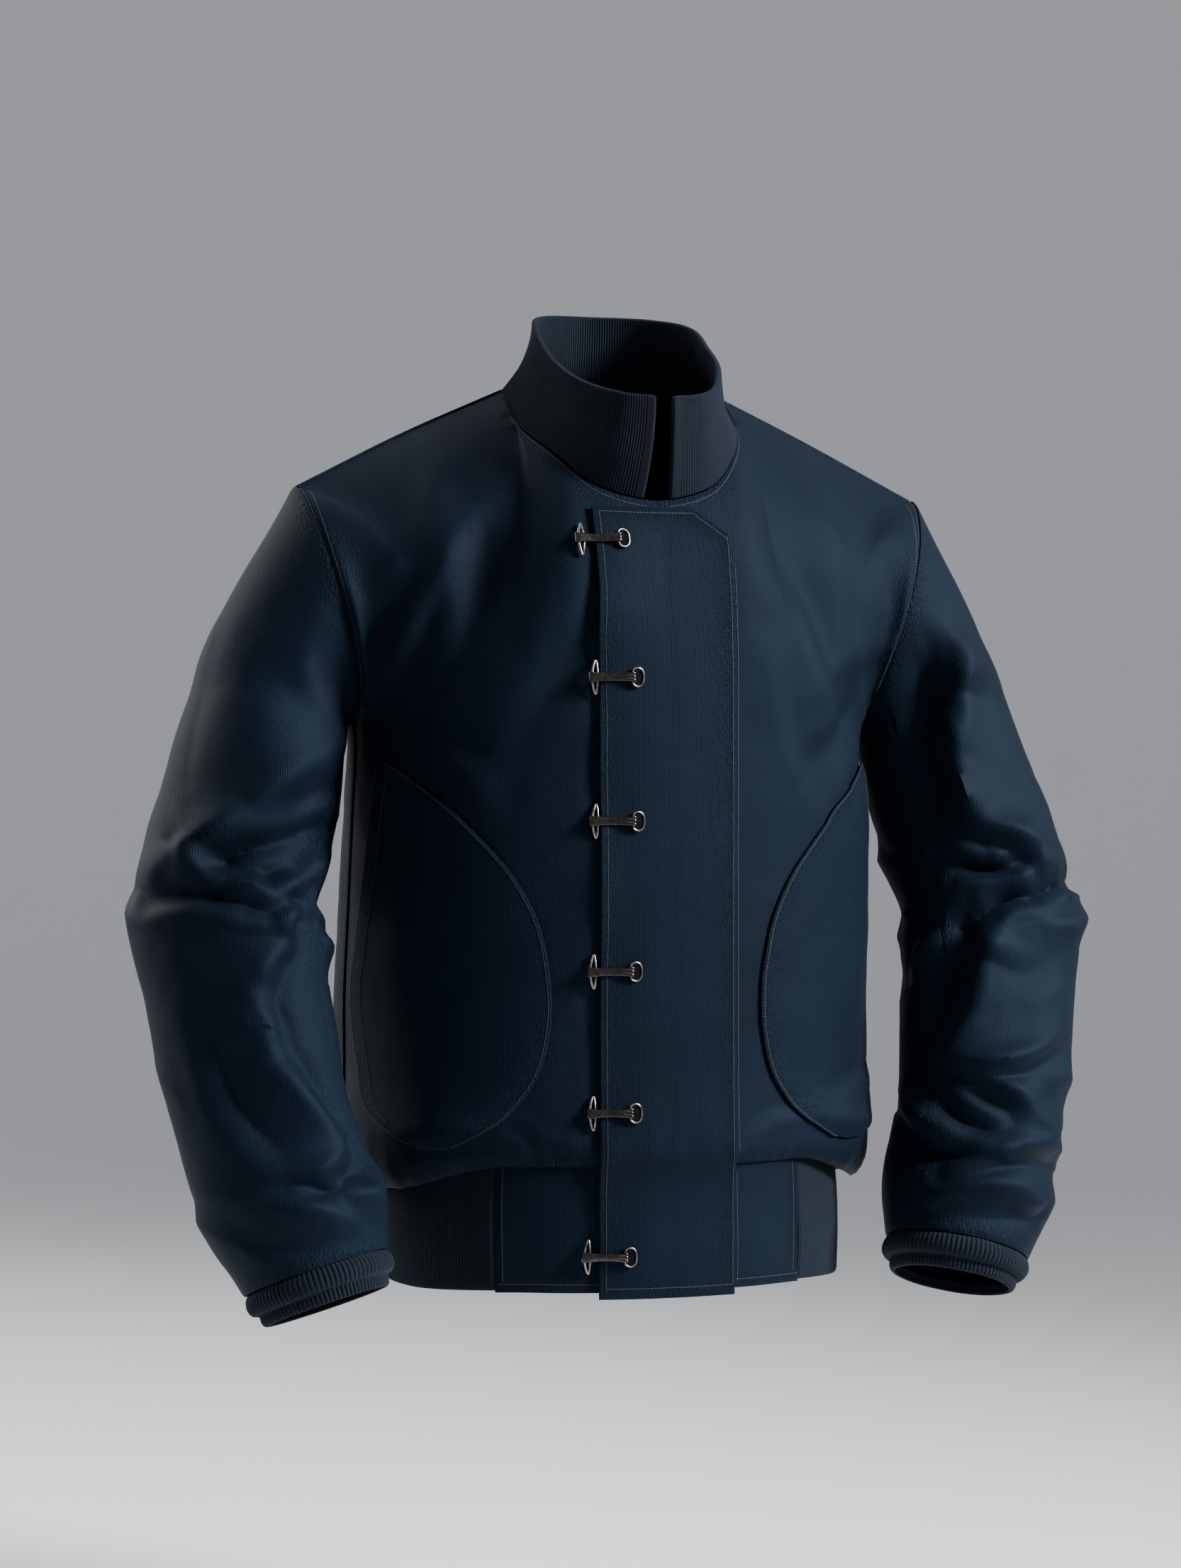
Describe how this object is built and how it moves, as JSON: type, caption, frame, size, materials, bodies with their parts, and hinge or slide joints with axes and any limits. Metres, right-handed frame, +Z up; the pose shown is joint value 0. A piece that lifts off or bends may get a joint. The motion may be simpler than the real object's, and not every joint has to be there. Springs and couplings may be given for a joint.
{
  "type": "deck jacket",
  "caption": "Hollow, worn hip-length deck jacket in corded navy cloth, with a rib stand collar, waistband and cuffs, half-moon pockets and a hooked front flap.",
  "frame": {"origin": "on the garment's centre plane, level with the points where the shoulder seams meet the collar, where the wearer's neck and shoulders hold it up", "axes": "+Z up, -Y out of the front, +X to the wearer's left"},
  "size_m": [0.713, 0.3132, 0.728],
  "materials": {
    "navy_cloth": "fine corded cotton cloth with a soft satin sheen",
    "navy_rib": "dense vertical wool rib knit, matt",
    "dark_nickel": "dark nickel plate, worn bright on its edges"
  },
  "bodies": {
    "root": {"front_right": "navy_cloth", "front_left": "navy_cloth", "back": "navy_cloth", "sleeve_right_top": "navy_cloth", "sleeve_right_under": "navy_cloth", "sleeve_left_top": "navy_cloth", "sleeve_left_under": "navy_cloth", "waistband_front_right": "navy_cloth", "waistband_front_left": "navy_cloth", "pocket_right": "navy_cloth", "pocket_left": "navy_cloth", "placket_flap": "navy_cloth", "collar_rib": "navy_rib", "waistband_rib": "navy_rib", "cuff_right": "navy_rib", "cuff_left": "navy_rib", "eye_1": "dark_nickel", "hook_ring_1": "dark_nickel", "hook_1": "dark_nickel", "eye_2": "dark_nickel", "hook_ring_2": "dark_nickel", "hook_2": "dark_nickel", "eye_3": "dark_nickel", "hook_ring_3": "dark_nickel", "hook_3": "dark_nickel", "eye_4": "dark_nickel", "hook_ring_4": "dark_nickel", "hook_4": "dark_nickel", "eye_5": "dark_nickel", "hook_ring_5": "dark_nickel", "hook_5": "dark_nickel", "eye_6": "dark_nickel", "hook_ring_6": "dark_nickel", "hook_6": "dark_nickel"}
  },
  "joints": []
}
